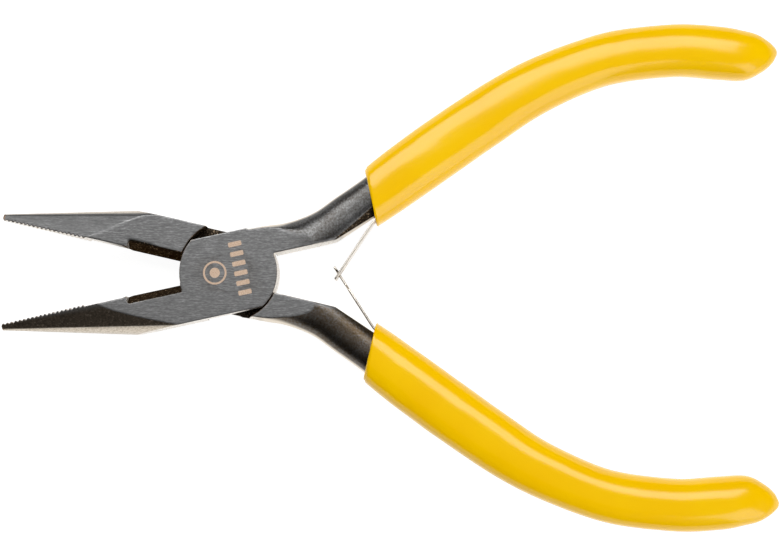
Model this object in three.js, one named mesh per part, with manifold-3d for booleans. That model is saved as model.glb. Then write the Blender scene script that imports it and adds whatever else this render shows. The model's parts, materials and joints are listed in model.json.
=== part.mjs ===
// Long nose pliers with a side cutter, a riveted lap joint, a pair of interlocking leaf springs and
// dipped grips. Millimetres, +Z up. The pliers lie on their side, jaws towards -X and handles
// towards +X, held open by their springs. The origin is on the pivot axis, in the lower face of
// the joint.
//
// The two forgings are one shape. A half is drawn closed, in a frame of its own: pivot at the
// origin, middle plane at z = 0, jaw towards -X just below the x axis, handle towards +X above it.
// The front half is that shape, turned open about Z. The rear half is the front half rolled half
// a turn about X.

import * as THREE from "three";
import { mergeVertices } from "three/addons/utils/BufferGeometryUtils.js";
import Module from "manifold-3d";

const wasm = await Module();
wasm.setup();
const degrees = THREE.MathUtils.degToRad;

// ---- Driving dimensions ----------------------------------------------------------------------

const thickness = 8;                 // of the joint, and of the jaws where they leave it
const openAngle = degrees(12.6);     // each half stands this far from closed
const tipX = -37.4;                  // where the jaws end
const gripEndX = 92.5;               // where the grips end

// Joint
const headHalfWidth = 6.3;
const jawEndRadius = 8;              // round end of the lap plate towards the jaws
const handleEndRadius = 7.4;         // and towards the handles
const recessGap = 0.3;               // between a plate and the pocket that it turns in
const lapGap = 0.1;
const rivetRadius = 2.2;
const rivetHeadRadius = 3;
const rivetHeadDepth = 0.8;
const rivetGap = 0.1;

// Jaws
const closedGap = 0.1;               // between the tooth tips of closed jaws
const tipHeight = 1.1;               // of one jaw
const jawCornerX = -16.7;            // where the sloping back of the nose meets the joint's side
const noseRoundness = 0.8;           // width of the nose's oval section over its height
const toothPitch = 0.7;
const toothDepth = 0.35;
const toothCount = 20;
const plainRelief = 0.28;            // the plain stretch behind the teeth stands back this far
const cutterStartX = -16.1;
const cutterRampLength = 1.2;
const cutterBevelWidth = 1.35;       // seen square to the joint's face

// Handles
const innerWallY = 1.5;              // milled inner side of the neck
const seatStart = [17.3, 1.55];      // the flat that the spring's root lies on
const seatEnd = [34, 7.85];
const gripMouthX = 24.1;
const gripHalfThickness = 4;
const gripClearance = 0.12;

// Leaf springs
const leafThickness = 0.4;
const leafWidth = 5;
const leafBend = [24, 3.5];          // the bend line, at the mouth of the grip
const leafRootAngle = degrees(22.8);
const leafRootLength = 9.2;
const leafBendAngle = degrees(21.5); // at rest; the spring is flat when the jaws are closed
const leafLength = 11.4;             // from the bend to the free end
const leafBendGap = 0.35;            // between a root and its blade
const slotStart = 8.1;
const slotEnd = 10.8;
const slotWidth = 2.6;
const tongueStart = 7.4;
const tongueTaper = 0.8;
const tongueWidth = 2;
const tongueHeadStart = 10.8;
const tongueHeadEnd = 11.7;
const tongueHeadWidth = 3.2;
const leafRivetPlace = 6.6;          // along the root from the bend
const leafRivetRadius = 0.9;
const leafRivetHeadRadius = 1.5;
const leafRivetHeadHeight = 0.35;
const leafRivetDepth = 2.6;
const leafRivetGap = 0.1;

const axisX = new THREE.Vector3(1, 0, 0);
const axisY = new THREE.Vector3(0, 1, 0);
const axisZ = new THREE.Vector3(0, 0, 1);
const far = 120;                     // past the end of everything

// ---- Materials -------------------------------------------------------------------------------

const forgedSteel = new THREE.MeshStandardMaterial({ color: 0x5f5f5e, roughness: 0.45, metalness: 1 });
const springSteel = new THREE.MeshStandardMaterial({ color: 0xcfcdc8, roughness: 0.25, metalness: 1 });
const rivetSteel = new THREE.MeshStandardMaterial({ color: 0x686867, roughness: 0.4, metalness: 1 });
const yellowVinyl = new THREE.MeshStandardMaterial({ color: 0xf2bf00, roughness: 0.3, metalness: 0 });

// ---- Solids ----------------------------------------------------------------------------------

function solidOf(geometry) {
  const plain = geometry.clone();
  plain.deleteAttribute("normal");
  plain.deleteAttribute("uv");
  const merged = mergeVertices(plain, 1e-5);
  return new wasm.Manifold(new wasm.Mesh({
    numProp: 3,
    vertProperties: new Float32Array(merged.attributes.position.array),
    triVerts: new Uint32Array(merged.index.array),
  }));
}

function geometryOf(solid) {
  const data = solid.getMesh();
  const geometry = new THREE.BufferGeometry();
  geometry.setAttribute("position", new THREE.BufferAttribute(new Float32Array(data.vertProperties), 3));
  geometry.setIndex(new THREE.BufferAttribute(new Uint32Array(data.triVerts), 1));
  geometry.computeVertexNormals();
  return geometry;
}

function polygon(points) {
  return new THREE.Shape(points.map(([x, y]) => new THREE.Vector2(x, y)));
}

// An outline in the XY plane as a slab from z = low to z = high.
function slab(outline, low, high) {
  const depth = high - low;
  const geometry = new THREE.ExtrudeGeometry(outline, { depth, bevelEnabled: false, curveSegments: 16 });
  geometry.translate(0, 0, low);
  return solidOf(geometry);
}

function disc(radius, low, high) {
  const geometry = new THREE.CylinderGeometry(radius, radius, high - low, 64);
  geometry.rotateX(Math.PI / 2);
  geometry.translate(0, 0, (low + high) / 2);
  return solidOf(geometry);
}

// A profile of [radius, height] pairs turned about the y axis.
function turned(profile, segments) {
  return new THREE.LatheGeometry(profile.map(([radius, y]) => new THREE.Vector2(radius, y)), segments);
}

// The value between b and c at t from 0 to 1, on a smooth curve through all four.
function smooth(a, b, c, d, t) {
  const slopeB = (c - a) / 2;
  const slopeC = (d - b) / 2;
  const cubic = 2 * (b - c) + slopeB + slopeC;
  const square = 3 * (c - b) - 2 * slopeB - slopeC;
  return ((cubic * t + square) * t + slopeB) * t + b;
}

// The stations with more between them, every measure changing smoothly.
function refine(stations, stepsPerSpan) {
  const result = [];
  const last = stations.length - 1;
  for (let span = 0; span < last; span += 1) {
    const a = stations[Math.max(span - 1, 0)];
    const b = stations[span];
    const c = stations[span + 1];
    const d = stations[Math.min(span + 2, last)];
    for (let step = 0; step < stepsPerSpan; step += 1) {
      result.push(b.map((_, key) => smooth(a[key], b[key], c[key], d[key], step / stepsPerSpan)));
    }
  }
  result.push(stations[last]);
  return result;
}

// A bar through stations [x, y, direction in degrees, half width, half thickness], grown all round
// by a clearance. Each section is a rounded oval across the direction; a squareness of 2 makes it
// an ellipse and more makes its sides flatter.
function bar(stations, squareness, stepsPerSpan, growth = 0) {
  const sides = 24;
  const rings = refine(stations, stepsPerSpan);
  const last = rings.length - 1;
  const positions = [];
  rings.forEach(([x, y, direction, halfWidth, halfThickness], ring) => {
    const cosine = Math.cos(degrees(direction));
    const sine = Math.sin(degrees(direction));
    const forward = ring === last ? 2 * growth : 0;
    for (let side = 0; side < sides; side += 1) {
      const turn = (side / sides) * 2 * Math.PI;
      const across = Math.sign(Math.cos(turn)) * Math.abs(Math.cos(turn)) ** (2 / squareness);
      const up = Math.sign(Math.sin(turn)) * Math.abs(Math.sin(turn)) ** (2 / squareness);
      const reach = across * (halfWidth + growth);
      positions.push(x + cosine * forward - sine * reach);
      positions.push(y + sine * forward + cosine * reach);
      positions.push(up * (halfThickness + growth));
    }
  });
  const faces = [];
  for (let ring = 0; ring < last; ring += 1) {
    for (let side = 0; side < sides; side += 1) {
      const here = ring * sides + side;
      const beside = ring * sides + ((side + 1) % sides);
      faces.push(here, beside, here + sides, beside, beside + sides, here + sides);
    }
  }
  const end = last * sides;
  for (let side = 1; side < sides - 1; side += 1) {
    faces.push(0, side + 1, side);
    faces.push(end, end + side, end + side + 1);
  }
  const geometry = new THREE.BufferGeometry();
  geometry.setAttribute("position", new THREE.Float32BufferAttribute(positions, 3));
  geometry.setIndex(faces);
  return solidOf(geometry);
}

// ---- Forged half -----------------------------------------------------------------------------

function jawOutline() {
  const edgeY = -closedGap / 2;
  const reliefY = edgeY - plainRelief;
  const teethEndX = tipX + toothCount * toothPitch;
  const points = [
    [0, -headHalfWidth],
    [0, edgeY],
    [cutterStartX, edgeY],
    [cutterStartX - cutterRampLength, reliefY],
    [teethEndX + toothPitch / 4, reliefY],
  ];
  for (let tooth = toothCount; tooth > 0; tooth -= 1) {
    const valleyX = tipX + tooth * toothPitch;
    points.push([valleyX, edgeY - toothDepth]);
    points.push([valleyX - toothPitch / 2, edgeY]);
  }
  points.push([tipX, edgeY - toothDepth], [tipX, -tipHeight], [jawCornerX, -headHalfWidth]);
  return polygon(points);
}

// The nose is half of a cone with an oval section. Its back has the slope of the jaw's outline.
function noseCone() {
  const slope = (headHalfWidth - tipHeight) / (jawCornerX - tipX);
  const apexX = tipX - tipHeight / slope;
  const geometry = turned([[0, apexX], [-apexX * slope, 0], [0, 0]], 56);
  geometry.rotateZ(-Math.PI / 2);
  geometry.scale(1, 1, noseRoundness);
  return solidOf(geometry);
}

// The bevels fall from the cutting edge, in the middle plane, to both faces of the jaw. On the
// face that carries the lap plate they stop at the plate's round end.
function cutterBevels() {
  const reach = thickness;
  const drop = 2 * cutterBevelWidth;
  const startX = cutterStartX - cutterRampLength;
  const wedge = polygon([[0, 0], [-drop, -reach], [2, -reach], [2, reach], [-drop, reach]]);
  const geometry = new THREE.ExtrudeGeometry(wedge, { depth: -startX, bevelEnabled: false });
  geometry.applyMatrix4(new THREE.Matrix4().makeBasis(axisY, axisZ, axisX));
  geometry.translate(startX, -closedGap / 2, 0);
  const area = polygon([
    [startX, reach],
    [startX, -plainRelief],
    [cutterStartX, -cutterBevelWidth - closedGap],
    [cutterStartX, -reach],
    [0, -reach],
    [0, reach],
  ]);
  return solidOf(geometry)
    .intersect(slab(area, -reach, reach))
    .subtract(disc(jawEndRadius + 0.1, 0, 2 * reach));
}

// The lap plate: round ends about the pivot and straight sides.
function plateOutline() {
  const handleCorner = Math.asin(headHalfWidth / handleEndRadius);
  const jawCorner = Math.asin(headHalfWidth / jawEndRadius);
  const outline = new THREE.Shape();
  outline.absarc(0, 0, handleEndRadius, -handleCorner, handleCorner, false);
  outline.absarc(0, 0, jawEndRadius, Math.PI - jawCorner, Math.PI + jawCorner, false);
  return outline;
}

// Room for the other half's plate, which turns with its own jaw and handle.
function pocketOutline() {
  const outline = new THREE.Shape();
  outline.absarc(0, 0, handleEndRadius + recessGap, -Math.PI / 2, Math.PI / 2, false);
  outline.absarc(0, 0, jawEndRadius + recessGap, Math.PI / 2, 1.5 * Math.PI, false);
  return outline;
}

const handleStations = [
  [3, 1.9, 0, 4.5, 8],
  [7, 1.75, 0, 4.47, 6.9],
  [10, 1.8, 3, 4.25, 5.2],
  [13.2, 2.35, 14, 4, 4.1],
  [16.5, 3.5, 22, 3.6, 3.75],
  [20, 5.15, 25, 3.45, 3.5],
  [24, 7, 25, 3.25, 3.35],
  [28.2, 8.95, 24, 3.2, 3.2],
  [36.1, 12.35, 23.5, 3.15, 3],
  [44.3, 15.7, 21, 3.05, 2.9],
  [52.6, 18.7, 18, 2.95, 2.8],
  [61.3, 20.5, 8.5, 2.85, 2.7],
  [68, 20.9, 0, 2.8, 2.6],
  [76.7, 19.9, -9.5, 2.7, 2.5],
  [85, 17.5, -16, 2.3, 2.1],
];

function handleBar(growth) {
  return bar(handleStations, 2.5, 2, growth);
}

// Neck and tang: the handle's bar with flat faces at the joint's thickness, and the inner side
// milled straight from the joint to the spring's seat.
function handle() {
  const flats = polygon([[0, -far], [far, -far], [far, far], [0, far]]);
  const milledSide = polygon([[0, innerWallY], seatStart, seatEnd, [seatEnd[0], -far], [0, -far]]);
  return handleBar(0)
    .intersect(slab(flats, -thickness / 2, thickness / 2))
    .subtract(slab(milledSide, -thickness, thickness));
}

// The countersunk pivot rivet, grown by a clearance and carried on past both faces.
function pivotShape(clearance, overshoot) {
  const top = thickness / 2 + overshoot;
  const neckTop = thickness / 2 - rivetHeadDepth;
  const flare = (rivetHeadRadius - rivetRadius) / rivetHeadDepth;
  const shank = rivetRadius + clearance;
  const head = rivetHeadRadius + clearance + overshoot * flare;
  const profile = [[0, -top], [head, -top], [shank, -neckTop], [shank, neckTop], [head, top], [0, top]];
  const geometry = turned(profile, 48);
  geometry.rotateX(Math.PI / 2);
  return geometry;
}

function forgedHalf() {
  const face = thickness / 2;
  return slab(jawOutline(), -face, face)
    .intersect(noseCone())
    .subtract(cutterBevels())
    .add(slab(plateOutline(), lapGap / 2, face))
    .add(handle())
    .subtract(slab(pocketOutline(), -thickness, lapGap / 2))
    .subtract(solidOf(pivotShape(rivetGap, 1)))
    .subtract(solidOf(onHandle(leafRivetShape(leafRivetGap))));
}

// ---- Leaf springs ----------------------------------------------------------------------------

// A spring's root and its rivet are drawn with x along the root into the grip and y towards the
// tang. This puts such a geometry in its place on the handle.
function onHandle(geometry) {
  geometry.rotateZ(leafRootAngle);
  geometry.translate(leafBend[0], leafBend[1], 0);
  return geometry;
}

function leafRivetShape(clearance) {
  const underLeaf = -leafThickness / 2 - 0.05;
  const bottom = underLeaf - leafRivetHeadHeight - clearance;
  const end = leafThickness / 2 + leafRivetDepth + clearance;
  const head = leafRivetHeadRadius + clearance;
  const shank = leafRivetRadius + clearance;
  const profile = [[0, bottom], [head, bottom], [head, underLeaf], [shank, underLeaf], [shank, end], [0, end]];
  const geometry = turned(profile, 24);
  geometry.translate(leafRivetPlace, 0, 0);
  return geometry;
}

function leafRootBlank(growth) {
  const grown = 2 * growth;
  const geometry = new THREE.BoxGeometry(leafRootLength + grown, leafThickness + grown, leafWidth + grown);
  geometry.translate(leafRootLength / 2, 0, 0);
  return geometry;
}

function leafRoot() {
  return geometryOf(solidOf(leafRootBlank(0)).subtract(solidOf(leafRivetShape(leafRivetGap))));
}

// A flat strip of the spring, x along it from the bend and the outline's y across its width.
function leafStrip(outline) {
  const geometry = new THREE.ExtrudeGeometry(outline, { depth: leafThickness, bevelEnabled: false });
  geometry.applyMatrix4(new THREE.Matrix4().makeBasis(axisX, axisZ, axisY.clone().negate()));
  geometry.translate(0, leafThickness / 2, 0);
  return geometry;
}

function slottedBlade() {
  const side = leafWidth / 2;
  const slotSide = slotWidth / 2;
  const outline = polygon([[leafBendGap, -side], [leafLength, -side], [leafLength, side], [leafBendGap, side]]);
  const slot = [[slotStart, -slotSide], [slotStart, slotSide], [slotEnd, slotSide], [slotEnd, -slotSide]];
  outline.holes.push(polygon(slot));
  return leafStrip(outline);
}

function tonguedBlade() {
  const side = leafWidth / 2;
  const tongue = tongueWidth / 2;
  const head = tongueHeadWidth / 2;
  const lowerSide = [
    [leafBendGap, -side],
    [tongueStart, -side],
    [tongueStart + tongueTaper, -tongue],
    [tongueHeadStart, -tongue],
    [tongueHeadStart, -head],
    [tongueHeadEnd, -head],
  ];
  const upperSide = lowerSide.map(([x, y]) => [x, -y]).reverse();
  return leafStrip(polygon([...lowerSide, ...upperSide]));
}

// ---- Grips -----------------------------------------------------------------------------------

const gripStations = [
  [20, 5.2, 24, 4, gripHalfThickness],
  [24.1, 6.95, 24, 4.1, gripHalfThickness],
  [28.2, 8.9, 24, 4.4, gripHalfThickness],
  [36.1, 12.35, 23.5, 4.5, gripHalfThickness],
  [44.3, 15.7, 21, 4.48, gripHalfThickness],
  [52.6, 18.7, 18, 4.3, gripHalfThickness],
  [61.3, 20.5, 8.5, 4.15, gripHalfThickness],
  [68, 20.9, 0, 4.14, gripHalfThickness],
  [76.7, 19.9, -9.5, 4.15, gripHalfThickness],
  [83.2, 18.1, -15, 4.2, 3.95],
  [87.2, 16.75, -12, 3.9, 3.6],
  [89.7, 16.55, -5, 3, 2.9],
  [91.3, 16.45, 0, 1.9, 1.9],
  [gripEndX - 0.3, 16.35, 0, 0.85, 0.9],
  [gripEndX, 16.3, 0, 0.3, 0.3],
];

// A sleeve that starts square to the closed pliers, fits the tang and leaves room for the spring's
// root and its rivet.
function gripSleeve() {
  const beyondMouth = polygon([[gripMouthX, -far], [far, -far], [far, far], [gripMouthX, far]]);
  const cavity = handleBar(gripClearance)
    .add(solidOf(onHandle(leafRootBlank(gripClearance))))
    .add(solidOf(onHandle(leafRivetShape(gripClearance))));
  const sleeve = bar(gripStations, 2.3, 2)
    .intersect(slab(beyondMouth, -thickness, thickness))
    .subtract(cavity);
  return geometryOf(sleeve);
}

// ---- Assembly --------------------------------------------------------------------------------

function piece(name, geometry, material) {
  const mesh = new THREE.Mesh(geometry, material);
  mesh.name = name;
  return mesh;
}

function blade(name, geometry) {
  const mesh = piece(name, geometry, springSteel);
  mesh.position.set(leafBend[0], leafBend[1], 0);
  mesh.rotation.z = leafRootAngle + Math.PI + leafBendAngle;
  return mesh;
}

// One handle's forging, grip and spring, turned open.
function openHalf(halfName, springName, springBlade) {
  const group = new THREE.Group();
  group.add(piece(`${halfName}_half`, geometryOf(forgedHalf()), forgedSteel));
  group.add(piece(`${halfName}_grip`, gripSleeve(), yellowVinyl));
  group.add(piece(`${springName}_root`, onHandle(leafRoot()), springSteel));
  group.add(piece(`${springName}_rivet`, onHandle(leafRivetShape(0)), rivetSteel));
  group.add(blade(`${springName}_blade`, springBlade));
  group.rotation.z = openAngle;
  return group;
}

const pliers = new THREE.Group();
pliers.position.z = thickness / 2;
pliers.add(openHalf("front", "slotted_spring", slottedBlade()));

const rolledOver = new THREE.Group();
rolledOver.rotation.x = Math.PI;
rolledOver.add(openHalf("rear", "tongued_spring", tonguedBlade()));
pliers.add(rolledOver);

pliers.add(piece("pivot_rivet", pivotShape(0, 0), rivetSteel));

export default pliers;
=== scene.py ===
"""Long nose pliers with a side cutter, lying open on a pale floor.

Shapes are drawn in millimetres in the frame of one closed half: pivot at the origin, middle plane at
z = 0, jaw towards -X just below the x axis, handle towards +X above it. The front half is that shape
turned open about Z. The rear half is the front half rolled half a turn about X.
"""

import json
import math

import bmesh
import bpy
import numpy as np
from mathutils import Matrix, Vector, noise


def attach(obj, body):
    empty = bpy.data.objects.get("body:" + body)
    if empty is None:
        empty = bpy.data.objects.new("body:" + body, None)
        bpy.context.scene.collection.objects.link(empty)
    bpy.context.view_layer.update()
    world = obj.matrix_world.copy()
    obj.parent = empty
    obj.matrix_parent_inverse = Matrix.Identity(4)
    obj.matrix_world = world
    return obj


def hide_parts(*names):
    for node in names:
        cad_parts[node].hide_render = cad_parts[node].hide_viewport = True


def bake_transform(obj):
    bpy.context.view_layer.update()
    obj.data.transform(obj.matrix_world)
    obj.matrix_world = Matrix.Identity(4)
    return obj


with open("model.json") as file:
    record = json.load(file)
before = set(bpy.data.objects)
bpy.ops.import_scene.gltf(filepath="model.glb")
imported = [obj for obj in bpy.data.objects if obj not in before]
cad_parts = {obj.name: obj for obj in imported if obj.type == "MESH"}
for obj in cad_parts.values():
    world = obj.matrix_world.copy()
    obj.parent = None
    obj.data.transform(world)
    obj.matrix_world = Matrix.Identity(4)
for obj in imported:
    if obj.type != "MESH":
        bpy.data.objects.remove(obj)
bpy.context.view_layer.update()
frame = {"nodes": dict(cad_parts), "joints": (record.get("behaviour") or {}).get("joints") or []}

MM = 0.001
FAR = 120.0

# ---- Sizes, in millimetres --------------------------------------------------------------------

PIVOT = next(joint for joint in frame["joints"] if joint["name"] == "jaw_pivot")
OPEN_ANGLE = math.radians(PIVOT["range_deg"][1] / 2)
FACE = PIVOT["pos_m"][2] / MM            # half the joint's thickness

HEAD_HALF_WIDTH = 6.3
JAW_END_RADIUS = 8.0
HANDLE_END_RADIUS = 7.4
RECESS_GAP = 0.2
LAP_GAP = 0.1
RIVET_RADIUS = 2.2
RIVET_HEAD_RADIUS = 3.0
RIVET_HEAD_DEPTH = 0.8

TIP_X = -37.4
TIP_HEIGHT = 1.1
JAW_CORNER_X = -16.7
BACK_SLOPE = (HEAD_HALF_WIDTH - TIP_HEIGHT) / (JAW_CORNER_X - TIP_X)
CLOSED_GAP = 0.1
TOOTH_PITCH = 0.7
TOOTH_DEPTH = 0.35
TOOTH_COUNT = 20
PLAIN_RELIEF = 0.28
CUTTER_START_X = -16.1
CUTTER_RAMP = 1.2
CUTTER_BEVEL = 1.35

INNER_WALL_Y = 1.5
SEAT_START = (17.3, 1.55)
SEAT_END = (34.0, 7.85)
GRIP_MOUTH_X = 24.1

LEAF_THICKNESS = 0.4
LEAF_EDGE = 0.16
LEAF_WIDTH = 5.0
LEAF_BEND = (24.0, 3.5)
LEAF_ROOT_ANGLE = math.radians(22.8)
LEAF_ROOT_LENGTH = 9.2
LEAF_BEND_ANGLE = math.radians(21.5)
LEAF_LENGTH = 11.4
LEAF_RIVET_PLACE = 6.6
LEAF_RIVET_HOLE = (1.0, 1.0, 2.9)        # radius, reach past the leaf to each side
SLOT = (8.1, 10.8, 2.6)                  # start, end, width
TONGUE_START = 7.4
TONGUE_TAPER = 0.8
TONGUE_WIDTH = 2.0
TONGUE_HEAD = (10.8, 11.7, 3.2)          # start, end, width

FINE_VOXEL = 0.11
VOXEL = FINE_VOXEL
KEPT_FACES = 0.5


# ---- Meshes ------------------------------------------------------------------------------------

def new_object(name, points, faces):
    mesh = bpy.data.meshes.new(name)
    mesh.from_pydata([tuple(point) for point in points], [], faces)
    mesh.validate()
    obj = bpy.data.objects.new(name, mesh)
    bpy.context.scene.collection.objects.link(obj)
    return obj


def remove(obj):
    mesh = obj.data
    bpy.data.objects.remove(obj)
    if mesh.users == 0:
        bpy.data.meshes.remove(mesh)


def apply_modifiers(obj):
    bpy.context.view_layer.update()
    graph = bpy.context.evaluated_depsgraph_get()
    mesh = bpy.data.meshes.new_from_object(obj.evaluated_get(graph))
    old = obj.data
    obj.modifiers.clear()
    obj.data = mesh
    mesh.name = old.name
    bpy.data.meshes.remove(old)
    return obj


def modify(obj, kind, **settings):
    modifier = obj.modifiers.new(kind.lower(), kind)
    for key, value in settings.items():
        setattr(modifier, key, value)
    return apply_modifiers(obj)


def combine(obj, operation, tool, solver="EXACT"):
    modify(obj, "BOOLEAN", operation=operation, solver=solver, object=tool)
    remove(tool)
    return obj


def slab(outline, low, high):
    """An outline of (x, y) points as a slab from z = low to z = high."""
    count = len(outline)
    points = [(x, y, low) for x, y in outline] + [(x, y, high) for x, y in outline]
    sides = [(i, (i + 1) % count, count + (i + 1) % count, count + i) for i in range(count)]
    caps = [tuple(range(count - 1, -1, -1)), tuple(range(count, 2 * count))]
    return new_object("slab", points, sides + caps)


def arc(radius, start, end, steps):
    turns = [start + (end - start) * i / steps for i in range(steps + 1)]
    return [(radius * math.cos(turn), radius * math.sin(turn)) for turn in turns]


def turned(profile, sides):
    """A profile of (radius, z) pairs turned about the z axis, closed at both ends."""
    points = []
    for radius, z in profile:
        for side in range(sides):
            turn = 2 * math.pi * side / sides
            points.append((radius * math.cos(turn), radius * math.sin(turn), z))
    return new_object("turned", points, tube_faces(len(profile), sides))


def tube_faces(rings, sides):
    faces = []
    for ring in range(rings - 1):
        for side in range(sides):
            here = ring * sides + side
            beside = ring * sides + (side + 1) % sides
            faces.append((here, beside, beside + sides, here + sides))
    faces.append(tuple(range(sides - 1, -1, -1)))
    faces.append(tuple((rings - 1) * sides + side for side in range(sides)))
    return faces


def smooth_between(a, b, c, d, t):
    """The value between b and c at t from 0 to 1, on a smooth curve through all four."""
    slope_b = (c - a) / 2
    slope_c = (d - b) / 2
    cubic = 2 * (b - c) + slope_b + slope_c
    square = 3 * (c - b) - 2 * slope_b - slope_c
    return ((cubic * t + square) * t + slope_b) * t + b


def refine(stations, steps):
    """The stations with more between them, every measure changing smoothly."""
    rows = np.array(stations, float)
    last = len(rows) - 1
    result = []
    for span in range(last):
        a, b, c, d = rows[max(span - 1, 0)], rows[span], rows[span + 1], rows[min(span + 2, last)]
        result += [smooth_between(a, b, c, d, step / steps) for step in range(steps)]
    return result + [rows[last]]


def oval(side, sides, squareness):
    """(across, up) from -1 to 1 on a rounded oval; 2 makes an ellipse and more makes it squarer."""
    turn = 2 * math.pi * side / sides
    across = math.copysign(abs(math.cos(turn)) ** (2 / squareness), math.cos(turn))
    up = math.copysign(abs(math.sin(turn)) ** (2 / squareness), math.sin(turn))
    return across, up


def on_station(station, across, up):
    """The point of a section at a station [x, y, direction, half width, half thickness]."""
    x, y, direction, half_width, half_thickness = station
    turn = math.radians(direction)
    reach = across * half_width
    return x - math.sin(turn) * reach, y + math.cos(turn) * reach, up * half_thickness


def bar(stations, squareness, sides):
    points = [
        on_station(station, *oval(side, sides, squareness)) for station in stations for side in range(sides)
    ]
    # the sections run the other way round from tube_faces' rings
    faces = [tuple(reversed(face)) for face in tube_faces(len(stations), sides)]
    return new_object("bar", points, faces)


def placement(rolled):
    """From millimetres in the frame of one closed half to metres in the open pliers."""
    opened = Matrix.Rotation(OPEN_ANGLE, 4, "Z") @ Matrix.Scale(MM, 4)
    roll = Matrix.Rotation(math.pi if rolled else 0, 4, "X")
    return Matrix.Translation((0, 0, FACE * MM)) @ roll @ opened


def place(obj, name, rolled):
    obj.name = name
    obj.data.name = name
    obj.data.transform(placement(rolled))
    return obj


def shade_smooth(obj, angle=None):
    obj.data.shade_smooth()
    if angle is not None:
        obj.data.set_sharp_from_angle(angle=math.radians(angle))


# ---- Forged half -------------------------------------------------------------------------------

# sections along the handle: x, y, direction in degrees, half width, half thickness
HANDLE_STATIONS = [
    [3, 1.9, 0, 4.5, 8],
    [7, 1.75, 0, 4.47, 6.9],
    [10, 1.8, 3, 4.25, 5.2],
    [13.2, 2.35, 14, 4, 4.1],
    [16.5, 3.5, 22, 3.6, 3.75],
    [20, 5.15, 25, 3.45, 3.5],
    [24, 7, 25, 3.25, 3.35],
    [28.2, 8.95, 24, 3.2, 3.2],
    [36.1, 12.35, 23.5, 3.15, 3],
    [44.3, 15.7, 21, 3.05, 2.9],
    [52.6, 18.7, 18, 2.95, 2.8],
    [61.3, 20.5, 8.5, 2.85, 2.7],
    [68, 20.9, 0, 2.8, 2.6],
    [76.7, 19.9, -9.5, 2.7, 2.5],
    [85, 17.5, -16, 2.3, 2.1],
]
HANDLE_SQUARENESS = 2.5
TANG_JOIN_X = 26.5                       # inside the grip


def jaw_blank():
    edge = -CLOSED_GAP / 2
    relief = edge - PLAIN_RELIEF
    teeth_end = TIP_X + TOOTH_COUNT * TOOTH_PITCH
    outline = [
        (0, -HEAD_HALF_WIDTH),
        (0, edge),
        (CUTTER_START_X, edge),
        (CUTTER_START_X - CUTTER_RAMP, relief),
        (teeth_end + TOOTH_PITCH / 4, relief),
    ]
    for tooth in range(TOOTH_COUNT, 0, -1):
        valley = TIP_X + tooth * TOOTH_PITCH
        outline.append((valley, edge - TOOTH_DEPTH))
        outline.append((valley - TOOTH_PITCH * 0.42, edge))
        outline.append((valley - TOOTH_PITCH * 0.58, edge))
    outline += [(TIP_X, edge - TOOTH_DEPTH), (TIP_X, -TIP_HEIGHT), (JAW_CORNER_X, -HEAD_HALF_WIDTH)]
    return slab(list(reversed(outline)), -FACE, FACE)


# the nose's section on each side, over its height: where the crease lies across and up, the top of
# the toothed face, and how far the side and the back bow out
NEAR_SIDE = (0.78, 0.495, 0.8, 0.035, 0.055)
FAR_SIDE = (0.86, 0.6, 0.87, 0.015, 0.07)
SIDE_STEPS = 14
BACK_STEPS = 12


def nose_section(crease_across, crease_up, top, side_bow, back_bow):
    """One side of the section, from the toothed face over the crease to the back."""
    crease = Vector((crease_across, crease_up))
    points = []
    for i in range(SIDE_STEPS):
        t = i / SIDE_STEPS
        points.append((crease.x * t, top + (crease.y - top) * t + 4 * side_bow * t * (1 - t)))
    along = Vector((1 - crease.x, -crease.y))
    outward = Vector((crease.y, 1 - crease.x)).normalized()
    for i in range(BACK_STEPS + 1):
        t = i / BACK_STEPS
        point = crease + along * t + outward * (4 * back_bow * t * (1 - t))
        points.append((min(point.x, 1 + 0.02 * (1 - t)), point.y))
    return points


def nose():
    """The nose is a cone with that section, its back sloping as the jaw's outline does."""
    apex_x = TIP_X - TIP_HEIGHT / BACK_SLOPE
    far_side = [(across, -up) for across, up in nose_section(*FAR_SIDE)]
    section = nose_section(*NEAR_SIDE) + list(reversed(far_side[:-1]))
    points = []
    for x in (apex_x + 0.2, 0):
        height = (x - apex_x) * BACK_SLOPE
        points += [(x, -across * height, up * height) for across, up in section]
    return new_object("nose", points, tube_faces(2, len(section)))


def cutter_bevels():
    """Fall from the cutting edge to both faces, and stop at the lap plate on its side."""
    reach = 2 * FACE
    drop = 2 * CUTTER_BEVEL
    start = CUTTER_START_X - CUTTER_RAMP / 2
    edge = -CLOSED_GAP / 2
    past_edge = 2
    section = [(0, 0), (-drop, -reach), (past_edge, -reach), (past_edge, reach), (-drop, reach)]
    points = [(x, edge + y, z) for x in (start, 0) for y, z in section]
    wedge = new_object("wedge", points, tube_faces(2, len(section)))
    blunt = 0.3
    area = [
        (start, reach),
        (start, blunt - CUTTER_BEVEL - CLOSED_GAP),
        (start + blunt, -CUTTER_BEVEL - CLOSED_GAP),
        (start + blunt, -reach),
        (0, -reach),
        (0, reach),
    ]
    combine(wedge, "INTERSECT", slab(area, -reach, reach))
    plate_room = slab(arc(JAW_END_RADIUS + 0.1, 0, 2 * math.pi, 96)[:-1], 0, 2 * reach)
    return combine(wedge, "DIFFERENCE", plate_room)


def plate():
    handle_corner = math.asin(HEAD_HALF_WIDTH / HANDLE_END_RADIUS)
    jaw_corner = math.asin(HEAD_HALF_WIDTH / JAW_END_RADIUS)
    outline = arc(HANDLE_END_RADIUS, -handle_corner, handle_corner, 40)
    outline += arc(JAW_END_RADIUS, math.pi - jaw_corner, math.pi + jaw_corner, 40)
    return slab(outline, LAP_GAP / 2, FACE)


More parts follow.
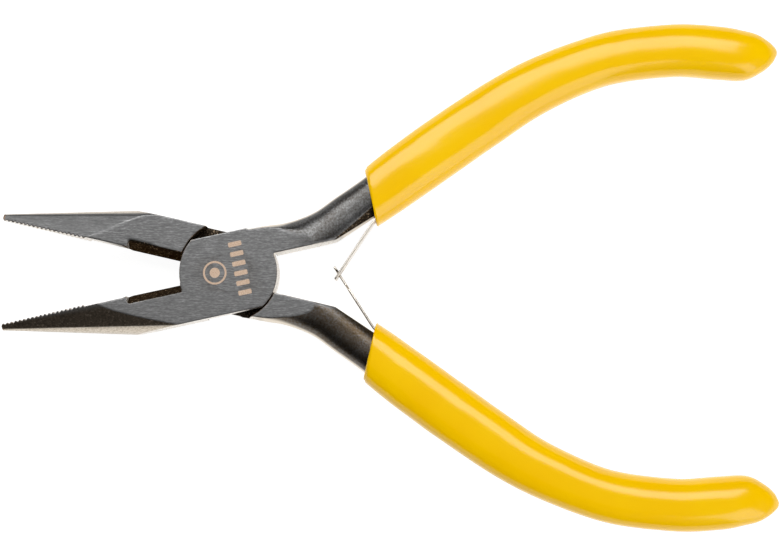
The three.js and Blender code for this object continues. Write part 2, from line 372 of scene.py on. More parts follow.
def pocket():
    outline = arc(HANDLE_END_RADIUS + RECESS_GAP, -math.pi / 2, math.pi / 2, 60)
    outline += arc(JAW_END_RADIUS + RECESS_GAP, math.pi / 2, 1.5 * math.pi, 60)
    return slab(outline, -FAR, LAP_GAP / 2)


# the chamfer along the spring's seat starts in a point and widens towards the grip
CHAMFER_START = Vector((17.0, 1.5, 3.35))
CHAMFER_TOP_END = Vector((24.5, 5.6, 3.05))
CHAMFER_LOW_END = Vector((24.5, 4.2, 1.7))
CHAMFER_OUTWARD = (CHAMFER_LOW_END - CHAMFER_START).cross(CHAMFER_TOP_END - CHAMFER_START).normalized()


def seat_chamfer():
    """The room of the flat ground along the spring's seat on the near face."""
    start = CHAMFER_START
    outward = CHAMFER_OUTWARD
    along = (CHAMFER_TOP_END - start).normalized()
    across = outward.cross(along)
    corners = []
    for depth in (0, 6):
        for a, b in ((-0.5, -6), (14, -6), (14, 6), (-0.5, 6)):
            corners.append(start + along * a + across * b + outward * depth)
    box = new_object("chamfer", corners, tube_faces(2, 4))
    bm = bmesh.new()
    bm.from_mesh(box.data)
    bmesh.ops.recalc_face_normals(bm, faces=bm.faces)
    bm.to_mesh(box.data)
    bm.free()
    return box


def handle(low_x, high_x):
    """Neck and tang between two x positions, with the inner side milled for the spring's seat."""
    body = bar(refine(HANDLE_STATIONS, 6), HANDLE_SQUARENESS, 72)
    span = [(low_x, -FAR), (high_x, -FAR), (high_x, FAR), (low_x, FAR)]
    combine(body, "INTERSECT", slab(span, -FACE, FACE))
    milled = [(0, -FAR), (SEAT_END[0], -FAR), SEAT_END, SEAT_START, (0, INNER_WALL_Y)]
    combine(body, "DIFFERENCE", slab(milled, -2 * FACE, 2 * FACE))
    return body


def rivet_shape(clearance, past):
    """The countersunk rivet, grown by a clearance and carried on past both faces."""
    shank = RIVET_RADIUS + clearance
    neck = FACE - RIVET_HEAD_DEPTH
    flare = (RIVET_HEAD_RADIUS - RIVET_RADIUS) / RIVET_HEAD_DEPTH
    head = RIVET_HEAD_RADIUS + clearance + past * flare
    end = FACE + past
    return turned([(head, -end), (shank, -neck), (shank, neck), (head, end)], 96)


def leaf_rivet_room():
    """The hole in the tang for the rivet that holds the spring's root."""
    radius, inwards, outwards = LEAF_RIVET_HOLE
    room = turned([(radius, -inwards), (radius, outwards)], 32)
    room.data.transform(Matrix.Rotation(-math.pi / 2, 4, "X"))
    room.data.transform(Matrix.Translation((LEAF_RIVET_PLACE, 0, 0)))
    room.data.transform(Matrix.Rotation(LEAF_ROOT_ANGLE, 4, "Z"))
    room.data.transform(Matrix.Translation((*LEAF_BEND, 0)))
    return room


def melt(obj, name, share_at, steps):
    """Melts the edges wherever share_at(x, y, z) is above 0; steps is for the fine mesh."""
    group = obj.vertex_groups.new(name=name)
    for vertex in obj.data.vertices:
        share = share_at(*vertex.co)
        if share > 0:
            group.add([vertex.index], min(1, share), "REPLACE")
    steps = round(steps * (FINE_VOXEL / VOXEL) ** 2)
    modify(obj, "SMOOTH", iterations=steps, factor=0.5, vertex_group=name)


def near_neck(x, y, z):
    """Where the near flat runs into the neck, clear of the seat's chamfer."""
    return min((x - 9) / 2, (19 - x) / 2, (z - 2.4) / 0.6, y - 2.2)


def far_nose_edge(x, y, z):
    """Where the nose's far side runs into the flat, clear of the teeth and of the back's crease."""
    return min((-z - 2.8) / 0.4, (-0.9 - y) / 0.5, (-12 - x) / 2, (x - TIP_X) * 0.16 + y + 1.0)


def forged_half():
    body = combine(jaw_blank(), "INTERSECT", nose())
    combine(body, "DIFFERENCE", cutter_bevels())
    combine(body, "UNION", plate())
    combine(body, "UNION", handle(0, TANG_JOIN_X))
    combine(body, "DIFFERENCE", pocket())
    combine(body, "DIFFERENCE", seat_chamfer())
    modify(body, "REMESH", mode="VOXEL", voxel_size=VOXEL, adaptivity=0)
    modify(body, "SMOOTH", iterations=2, factor=0.5)
    melt(body, "neck", near_neck, 200)
    melt(body, "nose", far_nose_edge, 60)
    modify(body, "DECIMATE", decimate_type="COLLAPSE", ratio=KEPT_FACES)
    combine(body, "UNION", handle(TANG_JOIN_X - 0.5, FAR), "MANIFOLD")
    combine(body, "DIFFERENCE", rivet_shape(0.02, 1.0), "MANIFOLD")
    combine(body, "DIFFERENCE", leaf_rivet_room(), "MANIFOLD")
    return body


# ---- Grips -------------------------------------------------------------------------------------

# sections along the grip's outside, in the same terms as the handle's
GRIP_STATIONS = [
    [20, 5.2, 24, 4, 4],
    [24.1, 6.95, 24, 4.25, 4],
    [28.2, 8.9, 24, 4.55, 4],
    [36.1, 12.35, 23.5, 4.67, 4],
    [44.3, 15.7, 21, 4.62, 4],
    [52.6, 18.7, 18, 4.4, 4],
    [61.3, 20.5, 8.5, 4.15, 4],
    [68, 20.9, 0, 4.14, 4],
    [76.7, 19.9, -9.5, 4.15, 4],
    [83.2, 18.1, -15, 4.2, 3.95],
    [87.2, 16.75, -12, 3.9, 3.6],
    [89.7, 16.55, -5, 3, 2.9],
    [91.3, 16.45, 0, 1.9, 1.9],
    [92.2, 16.35, 0, 0.85, 0.9],
    [92.5, 16.3, 0, 0.3, 0.3],
]
GRIP_SQUARENESS = 2.5
GRIP_SIDES = 96
LIP_RADIUS = 0.4
GRIP_FULL_X = 31.0                       # from here on the sections are square to the grip
DIP_START_X = GRIP_MOUTH_X + 1
DIP_FADE = 3
DIP_WAVES = 0.055
DIP_RIPPLES = 0.014


class Skin:
    """A lofted surface: place(row, side) is a point, with row counted along the stations."""

    def __init__(self, stations, squareness, growth, inner_squareness=None):
        self.rows = np.array(refine(stations, 16))
        self.rows[:, 3:] += growth
        self.outer = squareness
        self.inner = inner_squareness or squareness

    def place(self, row, side):
        station = [np.interp(row, range(len(self.rows)), self.rows[:, key]) for key in range(5)]
        turn = 2 * math.pi * side / GRIP_SIDES
        towards_inside = math.cos(turn) < 0
        across, up = oval(side, GRIP_SIDES, self.inner if towards_inside else self.outer)
        return Vector(on_station(station, across, up))

    def row_at(self, x, side):
        """The row where the line along one side crosses a plane of constant x."""
        low, high = 0.0, len(self.rows) - 1.0
        for _ in range(30):
            middle = (low + high) / 2
            if self.place(middle, side).x < x:
                low = middle
            else:
                high = middle
        return low

    def last(self):
        return len(self.rows) - 1


def lip_ring(corners, ways, radius, turn):
    """One ring of the mouth's rounding: at turn 0 it is on the skin, and at 90 degrees on the end."""
    back = Vector((radius * (1 - math.sin(turn)), 0, 0))
    return [corner + way * radius * (1 - math.cos(turn)) + back for corner, way in zip(corners, ways)]


def sleeve():
    """A dipped sleeve: cavity, rounded lip at the mouth, outer skin and closed end, as one skin."""
    outer = Skin(GRIP_STATIONS, GRIP_SQUARENESS, 0)
    cavity = Skin(HANDLE_STATIONS, HANDLE_SQUARENESS, 0.03, inner_squareness=6)
    full_row = np.interp(GRIP_FULL_X, outer.rows[:, 0], range(len(outer.rows)))
    cavity_full = np.interp(GRIP_FULL_X, cavity.rows[:, 0], range(len(cavity.rows)))
    sides = range(GRIP_SIDES)
    mouth = [outer.place(outer.row_at(GRIP_MOUTH_X, side), side) for side in sides]
    opening = [cavity.place(cavity.row_at(GRIP_MOUTH_X, side), side) for side in sides]
    rings = []
    # cavity, from its closed end to the mouth
    for row in np.linspace(cavity.last(), cavity_full, 40):
        rings.append([cavity.place(row, side) for side in sides])
    starts = [cavity.row_at(GRIP_MOUTH_X + LIP_RADIUS / 2, side) for side in sides]
    for t in np.linspace(0, 1, 8)[1:]:
        rings.append([cavity.place(cavity_full + (starts[side] - cavity_full) * t, side) for side in sides])
    # lip, turning from the opening to the outer skin
    outwards = [(mouth[side] - opening[side]).normalized() for side in sides]
    inwards = [-way for way in outwards]
    for turn in np.radians((22, 45, 68, 90)):
        rings.append(lip_ring(opening, outwards, LIP_RADIUS / 2, turn))
    for turn in np.radians((90, 72, 54, 36, 18)):
        rings.append(lip_ring(mouth, inwards, LIP_RADIUS, turn))
    # outer skin, from the mouth to the closed end
    starts = [outer.row_at(GRIP_MOUTH_X + LIP_RADIUS, side) for side in sides]
    for t in np.linspace(0, 1, 20)[:-1]:
        rings.append([outer.place(starts[side] + (full_row - starts[side]) * t, side) for side in sides])
    for row in np.linspace(full_row, outer.last(), 150):
        rings.append([outer.place(row, side) for side in sides])
    points = [point for ring in rings for point in ring]
    faces = [tuple(reversed(face)) for face in tube_faces(len(rings), GRIP_SIDES)]
    return new_object("sleeve", points, faces)


def roughen_dip(obj, seed):
    """The slow waves that a dipped coating dries with."""
    normals = [vertex.normal.copy() for vertex in obj.data.vertices]
    for vertex, normal in zip(obj.data.vertices, normals):
        x, y, z = vertex.co
        if x < DIP_START_X:
            continue
        fade = min(1, (x - DIP_START_X) / DIP_FADE)
        broad = noise.noise(Vector((x / 7, y / 4, z / 4 + seed)))
        small = noise.noise(Vector((x / 2.6, y / 2, z / 2 + seed + 7)))
        vertex.co += normal * fade * (DIP_WAVES * broad + DIP_RIPPLES * small)


# ---- Leaf springs ------------------------------------------------------------------------------

BEND_REACH = 0.8                         # the bend is rounded over this far to each side
BEND_CUTS = np.arange(-2, 2.01, 0.1)     # where the flat leaf is cut across, so that it can bend
LEAF_CORNER = 0.25
SLOT_CORNER = 0.5
TONGUE_SHOULDER = 0.25


def along_leaf(distance):
    """(point, direction) on the leaf's middle line; below 0 is the root, inside the grip."""
    root = Vector((-math.cos(LEAF_ROOT_ANGLE), -math.sin(LEAF_ROOT_ANGLE)))
    turned_by = LEAF_BEND_ANGLE * min(1, max(0, (distance + BEND_REACH) / (2 * BEND_REACH)))
    start = Vector(LEAF_BEND) - root * BEND_REACH
    if distance <= -BEND_REACH:
        return start + root * (distance + BEND_REACH), root
    radius = 2 * BEND_REACH / LEAF_BEND_ANGLE
    side = Vector((-root.y, root.x))
    point = start + root * radius * math.sin(turned_by) + side * radius * (1 - math.cos(turned_by))
    direction = root * math.cos(turned_by) + side * math.sin(turned_by)
    if distance > BEND_REACH:
        point = point + direction * (distance - BEND_REACH)
    return point, direction


def rounded(corners, radius, steps=5):
    """The outline through those corners with each one rounded."""
    result = []
    count = len(corners)
    for i, corner in enumerate(corners):
        here = Vector(corner)
        before = (Vector(corners[i - 1]) - here).normalized()
        after = (Vector(corners[(i + 1) % count]) - here).normalized()
        half = before.angle(after) / 2
        reach = radius / math.tan(half)
        start, end = here + before * reach, here + after * reach
        for step in range(steps + 1):
            t = step / steps
            result.append(tuple(start * (1 - t) ** 2 + here * 2 * t * (1 - t) + end * t * t))
    return result


def leaf(end_outline, slot_outline=None):
    """A leaf drawn flat, x along it from the bend, then bent to its line."""
    side = LEAF_WIDTH / 2
    outline = [(-LEAF_ROOT_LENGTH, side), (-LEAF_ROOT_LENGTH, -side)] + end_outline
    strip = slab(rounded(outline, LEAF_CORNER), -LEAF_THICKNESS / 2, LEAF_THICKNESS / 2)
    if slot_outline:
        tool = slab(rounded(slot_outline, SLOT_CORNER), -LEAF_THICKNESS, LEAF_THICKNESS)
        combine(strip, "DIFFERENCE", tool)
    edges = {"limit_method": "ANGLE", "angle_limit": math.radians(50), "use_clamp_overlap": False}
    modify(strip, "BEVEL", width=LEAF_EDGE, segments=4, **edges)
    bm = bmesh.new()
    bm.from_mesh(strip.data)
    for place_x in BEND_CUTS:
        geometry = bm.verts[:] + bm.edges[:] + bm.faces[:]
        bmesh.ops.bisect_plane(bm, geom=geometry, plane_co=(place_x, 0, 0), plane_no=(1, 0, 0))
    for vertex in bm.verts:
        distance, width, out = vertex.co
        point, direction = along_leaf(distance)
        vertex.co = (point.x - direction.y * out, point.y + direction.x * out, width)
    bm.to_mesh(strip.data)
    bm.free()
    return strip


def slotted_leaf():
    side = LEAF_WIDTH / 2
    start, end, width = SLOT
    slot_outline = [(start, -width / 2), (end, -width / 2), (end, width / 2), (start, width / 2)]
    return leaf([(LEAF_LENGTH, -side), (LEAF_LENGTH, side)], slot_outline)


def tongued_leaf():
    side = LEAF_WIDTH / 2
    start, end, width = TONGUE_HEAD
    neck = TONGUE_WIDTH / 2
    lower = [(TONGUE_START, -side), (TONGUE_START + TONGUE_TAPER, -neck), (start, -neck)]
    lower += [(start + TONGUE_SHOULDER, -width / 2), (end, -width / 2)]
    return leaf(lower + [(x, -y) for x, y in reversed(lower)])


# ---- Mark on the joint -------------------------------------------------------------------------

MARK_RAISE = 0.02
MARK_ROOT = 0.05
RING_CENTRE = (-2.35, 0.45)
RING_RADIUS = 1.85
RING_LINE = 0.3
DOT_RADIUS = 0.8
BARS_X = 1.65
BAR_COUNT = 6
BAR_SIZE = (2.1, 0.75)
BAR_PITCH = 1.55
BARS_MIDDLE_Y = 0.35
BAR_CORNER = 0.2


def disc(radius, low, high):
    ring_x, ring_y = RING_CENTRE
    outline = [(ring_x + x, ring_y + y) for x, y in arc(radius, 0, 2 * math.pi, 64)[:-1]]
    return slab(outline, low, high)


def mark():
    """A plain ring with a dot, and a column of short bars, etched in the joint's near face."""
    low, high = FACE - MARK_ROOT, FACE + MARK_RAISE
    hole = disc(RING_RADIUS - RING_LINE, 0, 2 * FACE)
    ring = combine(disc(RING_RADIUS, low, high), "DIFFERENCE", hole)
    pieces = [ring, disc(DOT_RADIUS, low, high)]
    for i in range(BAR_COUNT):
        y = BARS_MIDDLE_Y + (i - (BAR_COUNT - 1) / 2) * BAR_PITCH
        half_x, half_y = BAR_SIZE[0] / 2, BAR_SIZE[1] / 2
        corners = [(-half_x, -half_y), (half_x, -half_y), (half_x, half_y), (-half_x, half_y)]
        pieces.append(slab(rounded([(BARS_X + a, y + b) for a, b in corners], BAR_CORNER), low, high))
    bm = bmesh.new()
    for item in pieces:
        bm.from_mesh(item.data)
        remove(item)
    result = new_object("mark", [], [])
    bm.to_mesh(result.data)
    bm.free()
    return result


# ---- Where each finish, painted reflection and painted shade lies on the forging ---------------

# where one finish, painted reflection or painted shade gives way to another: from none of it to all of it
NEAR_FLAT_FADE = (9, 15)                 # along x
NOSE_END = (8.2, 8.6)                    # along -x
CUTTER_FRONT = (-17.8, -17.5)            # along x
CUTTER_BACK = (7.2, 7.6)                 # along -x
CUTTER_DEPTH = (-1.75, -1.55)            # along y
POCKET_REACH = (-8.8, -8.6)              # distance from the pivot, counted backwards
CHAMFER_FRONT = (16.8, 17.6)             # along x
NECK_START = (5, 7)                      # along x
NECK_INSIDE = (1.7, 2.1)                 # along y


def step_up(values, low, high):
    """0 up to low, 1 from high on, and smooth between."""
    t = np.clip((values - low) / (high - low), 0, 1)
    return t * t * (3 - 2 * t)


def edge_convexity(mesh, points, normals):
    """Above 0 on outer edges and below 0 in corners: how far the neighbours fall away."""
    edges = np.empty(len(mesh.edges) * 2, int)
    mesh.edges.foreach_get("vertices", edges)
    a, b = edges.reshape(-1, 2).T
    across = points[b] - points[a]
    length = np.linalg.norm(across, axis=1) + 1e-9
    fall_a = -np.einsum("ij,ij->i", across, normals[a]) / length
    fall_b = np.einsum("ij,ij->i", across, normals[b]) / length
    total = np.bincount(a, fall_a, len(points)) + np.bincount(b, fall_b, len(points))
    return total / (np.bincount(a, minlength=len(points)) + np.bincount(b, minlength=len(points)))


def mark_finishes(obj):
    """Writes, on each point of the forging, how much of each finish, painted reflection and painted shade
    it has.
    """
    mesh = obj.data
    points = np.empty(len(mesh.vertices) * 3)
    mesh.vertices.foreach_get("co", points)
    points = points.reshape(-1, 3)
    normals = np.empty(len(mesh.vertices) * 3)
    mesh.vertex_normals.foreach_get("vector", normals)
    normals = normals.reshape(-1, 3)
    x, y, z = points.T
    level = np.abs(z)
    upright = np.abs(normals[:, 2])
    near = step_up(z, -1, 1)
    from_pivot = np.hypot(x, y) + 1e-6
    inwards = -(normals[:, 0] * x + normals[:, 1] * y) / from_pivot
    flat = step_up(level, FACE - 0.06, FACE - 0.02) * step_up(upright, 0.8, 0.95)
    # on the near side the ground flat fades into the blasted neck, and on the other it ends crisply
    fading = near * step_up(x, *NEAR_FLAT_FADE)
    flat = flat * (1 - fading)
    across = -y / (TIP_HEIGHT + (x - TIP_X) * BACK_SLOPE)
    on_nose = (1 - flat) * step_up(-x, *NOSE_END) * step_up(upright, 0.08, 0.2)
    # nose_back_reflection: a painted reflection of the pale floor along the nose's back, a tan band painted
    # wider on the near side than on the far side
    near_back_reflection = step_up(across, NEAR_SIDE[0] - 0.01, NEAR_SIDE[0] + 0.02)
    far_back_reflection = step_up(across, FAR_SIDE[0] + 0.03, FAR_SIDE[0] + 0.1)
    back = on_nose * (near * near_back_reflection + (1 - near) * far_back_reflection)
    side = on_nose * (1 - back)
    along_cutter = step_up(x, *CUTTER_FRONT) * step_up(-x, *CUTTER_BACK)
    in_bevel = along_cutter * step_up(y, *CUTTER_DEPTH)
    bevel = in_bevel * (1 - flat) * step_up(normals[:, 1], 0.2, 0.4)
    # recess and pocket_wall: the lap faces and the pocket's wall in the gap inside the joint, painted dark
    # as shade between the halves; bevel and chamfer are dark cut faces
    recess = step_up(-level, -0.5, -0.2) * step_up(upright, 0.7, 0.9)
    pocket_wall = step_up(inwards, 0.3, 0.6) * step_up(-from_pivot, *POCKET_REACH)
    chamfer = step_up(normals @ np.array(CHAMFER_OUTWARD), 0.94, 0.98) * step_up(x, *CHAMFER_FRONT)
    cut_and_shade = np.clip(bevel + recess + pocket_wall + chamfer, 0, 1)
    on_neck = step_up(x, *NECK_START) * step_up(y, *NECK_INSIDE)
    skin = on_neck * (1 - flat) * (1 - pocket_wall)
    # wall: steep side faces, painted pale cream further on as a reflection of the bright floor
    wall = (1 - on_nose) * step_up(-upright, -0.45, -0.2) * (1 - cut_and_shade)
    # rim: the neck's steep sides, a ground strip along the parting line, painted pale tan as a reflection
    # of the floor
    rim = skin * step_up(-upright, -0.5, -0.2)
    # edge: a painted reflection, an orange-brown line along outer edges and across the nose's tip
    edge = step_up(edge_convexity(mesh, points, normals), 0.1, 0.32) * (1 - skin)
    edge = np.maximum(edge, step_up(-x, -TIP_X - 0.35, -TIP_X - 0.15))
    # teeth: the near nose is painted lighter towards its toothed face, a painted reflection of the light
    # from above
    teeth = side * step_up(-across, -0.3, 0)
    shares = {"nose_side": side, "nose_back_reflection": back, "cut_and_shade": cut_and_shade, "skin": skin, "wall": wall, "rim": rim}
    shares.update({"near": near, "edge": edge, "teeth": teeth})
    for name, values in shares.items():
        attribute = mesh.attributes.new(name, "FLOAT", "POINT")
        attribute.data.foreach_set("value", values.astype(np.float32))


# ---- Materials ---------------------------------------------------------------------------------

class Look:
    """A node material built up call by call; every length is in millimetres."""

    def __init__(self, name, **fixed):
        self.material = bpy.data.materials.new(name)
        self.material.use_nodes = True
        self.tree = self.material.node_tree
        self.shader = self.tree.nodes["Principled BSDF"]
        for key, value in fixed.items():
            self.shader.inputs[key.replace("_", " ").title().replace("Ior", "IOR")].default_value = value
        self.place = self.tree.nodes.new("ShaderNodeTexCoord").outputs["Object"]

    def link(self, value, socket):
        if isinstance(value, (int, float)):
            socket.default_value = value
        elif isinstance(value, tuple):
            socket.default_value = (*value, 1) if len(value) == 3 else value
        else:
            self.tree.links.new(value, socket)

    def grain(self, size, detail=2.0, roughness=0.5):
        """Noise with grains of that size along x, y and z."""
        mapping = self.tree.nodes.new("ShaderNodeMapping")
        mapping.vector_type = "TEXTURE"
        sizes = size if isinstance(size, tuple) else (size, size, size)
        mapping.inputs["Scale"].default_value = [each * MM for each in sizes]
        self.tree.links.new(self.place, mapping.inputs["Vector"])
        node = self.tree.nodes.new("ShaderNodeTexNoise")
        node.inputs["Scale"].default_value = 1
        node.inputs["Detail"].default_value = detail
        node.inputs["Roughness"].default_value = roughness
        self.tree.links.new(mapping.outputs[0], node.inputs["Vector"])
        return node.outputs["Fac"]

    def share(self, name):
        node = self.tree.nodes.new("ShaderNodeAttribute")
        node.attribute_name = name
        return node.outputs["Fac"]

    def ranged(self, value, low, high, to_low=0.0, to_high=1.0):
        node = self.tree.nodes.new("ShaderNodeMapRange")
        self.link(value, node.inputs["Value"])
        for key, number in (("From Min", low), ("From Max", high), ("To Min", to_low), ("To Max", to_high)):
            node.inputs[key].default_value = number
        return node.outputs[0]

    def math(self, operation, a, b=0.0):
        node = self.tree.nodes.new("ShaderNodeMath")
        node.operation = operation
        self.link(a, node.inputs[0])
        self.link(b, node.inputs[1])
        return node.outputs[0]

    def colours(self, value, *stops):
        """A ramp of (place, colour) stops."""
        node = self.tree.nodes.new("ShaderNodeValToRGB")
        elements = node.color_ramp.elements
        while len(elements) < len(stops):
            elements.new(0.5)
        for element, (position, colour) in zip(elements, stops):
            element.position = position
            element.color = (*colour, 1)
        self.link(value, node.inputs[0])
        return node.outputs[0]

    def blend(self, share, a, b):
        node = self.tree.nodes.new("ShaderNodeMix")
        node.data_type = "RGBA"
        self.link(share, node.inputs["Factor"])
        # the colour sockets come after the float and vector ones of the same names
        colour_a, colour_b = [i for i in node.inputs if i.type == "RGBA"]
        self.link(a, colour_a)
        self.link(b, colour_b)
        return [o for o in node.outputs if o.type == "RGBA"][0]

    def bump(self, height, depth, strength=1.0, under=None):
        node = self.tree.nodes.new("ShaderNodeBump")
        node.inputs["Strength"].default_value = strength
        node.inputs["Distance"].default_value = depth * MM
        self.link(height, node.inputs["Height"])
        if under is not None:
            self.tree.links.new(under, node.inputs["Normal"])
        return node.outputs[0]

    def finish(self, **sockets):
        for key, value in sockets.items():
            self.link(value, self.shader.inputs[key.replace("_", " ").title()])
        return self.material


def grey(value, warmth=0.0):
    return (value * (1 + warmth), value, value * (1 - warmth))


def ground_finish(look):
    """Colour and roughness of a ground face, whose lines run level with the open pliers."""
    brushed = look.grain((2.2, 0.16, 0.5), 3, 0.6)
    flecks = look.grain((0.5, 0.14, 0.3), 1, 0.5)
    streaks = look.math("ADD", look.math("MULTIPLY", brushed, 0.6), look.math("MULTIPLY", flecks, 0.4))
    colour = look.colours(streaks, (0.3, grey(0.12)), (0.5, grey(0.19)), (0.72, grey(0.36)))
    return streaks, colour, look.ranged(streaks, 0.3, 0.7, 0.52, 0.4)


def forged_steel():
    look = Look("forged_steel", metallic=1.0)
    streaks, colour, rough = ground_finish(look)
    clouds = look.grain(3.5, 3, 0.55)
    pits = look.grain(0.32, 2, 0.7)
    sparks = look.grain(0.2, 1, 0.5)
    near = look.share("near")
    mottle = look.math("ADD", look.math("MULTIPLY", pits, 0.6), look.math("MULTIPLY", clouds, 0.4))
    far_nose = look.colours(streaks, (0.3, grey(0.075)), (0.55, grey(0.11)), (0.75, grey(0.18)))
    near_nose = look.colours(pits, (0.35, grey(0.1, 0.25)), (0.6, grey(0.16, 0.25)), (0.75, grey(0.4, 0.2)))
    # painted reflection: the near nose turns lighter grey towards the toothed face
    near_nose = look.blend(look.share("teeth"), near_nose, grey(0.3))
    # painted reflection: the tan colour of the nose's back stands for the pale floor reflected there
    back = look.colours(pits, (0.35, (0.42, 0.36, 0.28)), (0.6, (0.64, 0.57, 0.48)))
    far_skin_stops = ((0.38, grey(0.062, 0.42)), (0.5, grey(0.1, 0.2)), (0.66, grey(0.165, 0.04)))
    far_skin = look.colours(mottle, *far_skin_stops)
    near_skin = look.colours(mottle, (0.38, grey(0.05, 0.12)), (0.52, grey(0.1, 0.02)), (0.68, grey(0.18)))
    # painted reflection: the steep side walls are painted pale cream for the bright floor they reflect; the
    # dark flecks are the steel's grain
    wall_reflection_stops = ((0.32, (0.3, 0.24, 0.18)), (0.43, (0.82, 0.77, 0.7)), (0.65, (0.92, 0.88, 0.82)))
    wall = look.colours(pits, *wall_reflection_stops)
    # dark brown with tan flecks: the cut faces' own finish, and also the painted shade in the joint's
    # recess and pocket
    cut_and_shade = look.colours(pits, (0.42, grey(0.02, 0.3)), (0.6, grey(0.05, 0.3)), (0.72, grey(0.42, 0.3)))
    colour = look.blend(look.share("wall"), colour, wall)
    colour = look.blend(look.share("nose_side"), colour, look.blend(near, far_nose, near_nose))
    colour = look.blend(look.share("nose_back_reflection"), colour, back)
    colour = look.blend(look.share("skin"), colour, look.blend(near, far_skin, near_skin))
    # partly painted reflection: the ground strip along the neck's sides is painted pale tan for the floor
    # it reflects
    colour = look.blend(look.share("rim"), colour, (0.75, 0.66, 0.54))
    colour = look.blend(look.share("cut_and_shade"), colour, cut_and_shade)
    # painted reflection: the thin orange-brown line on outer edges and the nose's tip, broken up by the
    # pits
    edge_reflection = look.math("MULTIPLY", look.share("edge"), look.ranged(pits, 0.4, 0.6, 0.4, 1.0))
    colour = look.blend(edge_reflection, colour, (0.26, 0.14, 0.06))
    grazing = look.blend(look.share("cut_and_shade"), (1.0, 1.0, 1.0), (0.42, 0.36, 0.28))
    rough = look.math("ADD", rough, look.math("MULTIPLY", look.share("cut_and_shade"), 0.2))
    rough = look.math("SUBTRACT", rough, look.math("MULTIPLY", look.share("skin"), 0.08))
    rough = look.math("SUBTRACT", rough, look.math("MULTIPLY", look.share("nose_back_reflection"), 0.15))
    soft = look.math("MULTIPLY", look.math("ADD", look.share("skin"), look.share("cut_and_shade")), pits)
    normal = look.bump(streaks, 0.012, 0.35)
    normal = look.bump(soft, 0.04, 0.5, under=normal)
    normal = look.bump(look.math("MULTIPLY", look.share("skin"), sparks), 0.01, 0.4, under=normal)
    return look.finish(base_color=colour, roughness=rough, normal=normal, specular_tint=grazing)


def rivet_steel():
    look = Look("rivet_steel", metallic=1.0)
    streaks, colour, rough = ground_finish(look)
    return look.finish(base_color=colour, roughness=rough, normal=look.bump(streaks, 0.012, 0.35))


def spring_steel():
    look = Look("spring_steel", metallic=1.0)
    drawn = look.grain(4.0, 1, 0.5)
    colour = look.colours(drawn, (0.3, (0.68, 0.63, 0.56)), (0.7, (0.8, 0.75, 0.68)))
    return look.finish(base_color=colour, roughness=look.ranged(drawn, 0.3, 0.7, 0.3, 0.36))


def yellow_vinyl():
    look = Look("yellow_vinyl", metallic=0.0, ior=1.45)
    clouds = look.grain(9.0, 2, 0.5)
    skin = look.grain(0.5, 2, 0.5)
    colour = look.colours(clouds, (0.3, (0.98, 0.56, 0.0)), (0.7, (1.0, 0.6, 0.0)))
    rough = look.ranged(skin, 0.3, 0.7, 0.15, 0.2)
    normal = look.bump(skin, 0.006, 0.2)
    normal = look.bump(clouds, 0.1, 0.2, under=normal)
    return look.finish(base_color=colour, roughness=rough, normal=normal)


def etched_mark():
    look = Look("etched_mark", metallic=0.0)
    frost = look.grain(0.16, 2, 0.6)
    colour = look.colours(frost, (0.3, (0.5, 0.33, 0.22)), (0.7, (0.72, 0.55, 0.42)))
    return look.finish(base_color=colour, roughness=look.ranged(frost, 0.3, 0.7, 0.75, 0.55))


def floor_card():
    look = Look("floor_card", metallic=0.0, roughness=0.9)
    tooth = look.grain(3.0, 2, 0.5)
    look.shader.inputs["Emission Color"].default_value = (1, 1, 1, 1)
    look.shader.inputs["Emission Strength"].default_value = 0.95
    return look.finish(base_color=look.colours(tooth, (0.3, grey(0.2)), (0.7, grey(0.22))))


# ---- Assembly ----------------------------------------------------------------------------------

def dress(obj, body, slot, material, *nodes):
    obj.data.materials.clear()
    obj.data.materials.append(material)
    if body:
        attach(obj, body)
    if nodes:
        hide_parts(*nodes)


def build_forgings(material):
    shape = forged_half()
    mark_finishes(shape)
    shade_smooth(shape, 40)
    rear = shape.copy()
    rear.data = shape.data.copy()
    bpy.context.scene.collection.objects.link(rear)
    dress(place(shape, "front_forging", False), "front_handle", "forged_steel", material, "front_half")
    dress(place(rear, "rear_forging", True), "rear_handle", "forged_steel", material, "rear_half")


def build_sleeves(material):
    for name, rolled, seed in (("front", False, 0), ("rear", True, 40)):
        obj = sleeve()
        roughen_dip(obj, seed)
        shade_smooth(obj)
        place(obj, f"{name}_sleeve", rolled)
        dress(obj, f"{name}_handle", "yellow_vinyl", material, f"{name}_grip")


def build_leaves(material):
    for spring, shape, rolled, handle_name in (
        ("slotted_spring", slotted_leaf, False, "front_handle"),
        ("tongued_spring", tongued_leaf, True, "rear_handle"),
    ):
        obj = place(shape(), spring.replace("spring", "leaf"), rolled)
        shade_smooth(obj, 35)
        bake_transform(obj)
        dress(obj, None, "spring_steel", material, f"{spring}_root", f"{spring}_blade")


def build_joint_rivet(material):
    obj = rivet_shape(0, 0)
    shade_smooth(obj, 30)
    dress(place(obj, "joint_rivet", False), "front_handle", "rivet_steel", material, "pivot_rivet")


def build_mark(material):
    obj = place(mark(), "joint_mark", False)
    dress(obj, "front_handle", "forged_steel", material)


FLOOR_DROP = 0.0003                      # in metres; the pliers' lowest face stays clear of the floor


def build_floor():
    size = 1.6
    points = [(-size, -size, 0), (size, -size, 0), (size, size, 0), (-size, size, 0)]
    floor = new_object("floor", points, [(0, 1, 2, 3)])
    modify(floor, "SUBSURF", levels=2, subdivision_type="SIMPLE")
    floor.location.z = -FLOOR_DROP
    floor.data.materials.append(floor_card())


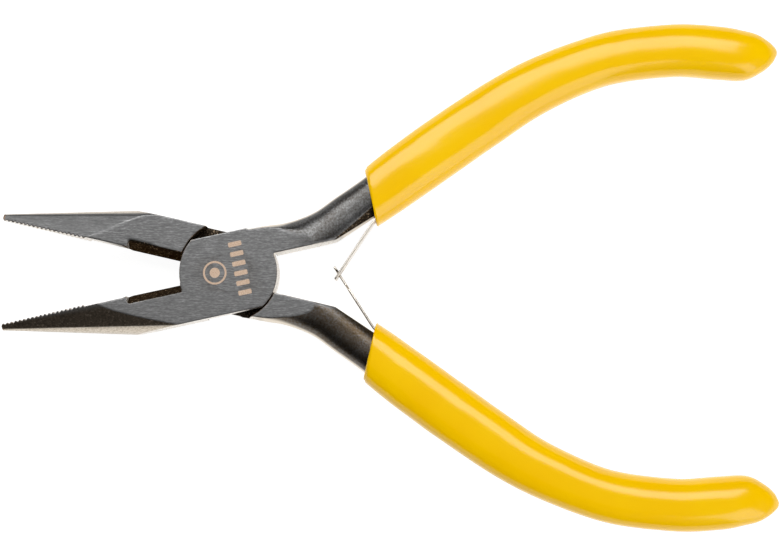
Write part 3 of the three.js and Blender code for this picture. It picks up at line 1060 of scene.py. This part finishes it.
def softbox(name, direction, size, radiance, roll=0.0):
    """A rectangular light seen from the pliers in that (azimuth, elevation), size over its distance."""
    distance = 1.2
    data = bpy.data.lights.new(name, "AREA")
    data.shape = "RECTANGLE"
    data.size, data.size_y = [each * distance for each in size]
    data.energy = radiance * math.pi * data.size * data.size_y
    azimuth, elevation = (math.radians(angle) for angle in direction)
    away = Vector((
        math.cos(azimuth) * math.cos(elevation),
        math.sin(azimuth) * math.cos(elevation),
        math.sin(elevation),
    ))
    light = bpy.data.objects.new(name, data)
    turn = away.to_track_quat("Z", "Y").to_matrix().to_4x4() @ Matrix.Rotation(math.radians(roll), 4, "Z")
    light.matrix_world = Matrix.Translation(Vector((0.03, 0, 0)) + away * distance) @ turn
    bpy.context.scene.collection.objects.link(light)
    return light


def build_lights():
    softbox("main_softbox", (107, 57), (1.35, 0.52), 4.7, roll=-36)
    softbox("side_softbox", (-50, 29), (0.5, 1.06), 2.3)
    softbox("overhead", (-90, 80), (0.9, 0.5), 0.1)
    fill = softbox("fill", (-45, 30), (1.2, 0.8), 1.0)
    fill.visible_glossy = False
    world = bpy.data.worlds.new("surround")
    world.use_nodes = True
    background = world.node_tree.nodes["Background"]
    background.inputs["Color"].default_value = (1, 1, 1, 1)
    background.inputs["Strength"].default_value = 0.9
    world.cycles_visibility.glossy = False
    world.cycles_visibility.diffuse = False
    bpy.context.scene.world = world


def build_camera():
    """Looks down on the joint side from arm's length, a little from the lower handle's side."""
    look_at = Vector((25.11, -0.36, FACE)) * MM
    turn = Matrix.Rotation(math.radians(3.0), 4, "X") @ Matrix.Rotation(math.radians(0.35), 4, "Z")
    data = bpy.data.cameras.new("camera")
    data.lens = 90
    data.sensor_width = 36
    data.clip_start = 0.01
    camera = bpy.data.objects.new("camera", data)
    camera.matrix_world = Matrix.Translation(look_at) @ turn @ Matrix.Translation((0, 0, 0.31))
    bpy.context.scene.collection.objects.link(camera)
    bpy.context.scene.camera = camera


steel = forged_steel()
rivet_finish = rivet_steel()
build_forgings(steel)
build_sleeves(yellow_vinyl())
build_leaves(spring_steel())
build_joint_rivet(rivet_finish)
build_mark(etched_mark())
for node in ("slotted_spring_rivet", "tongued_spring_rivet"):
    frame["nodes"][node].data.materials.clear()
    frame["nodes"][node].data.materials.append(rivet_finish)
build_floor()
build_lights()
build_camera()
bpy.context.scene.view_settings.view_transform = "Standard"
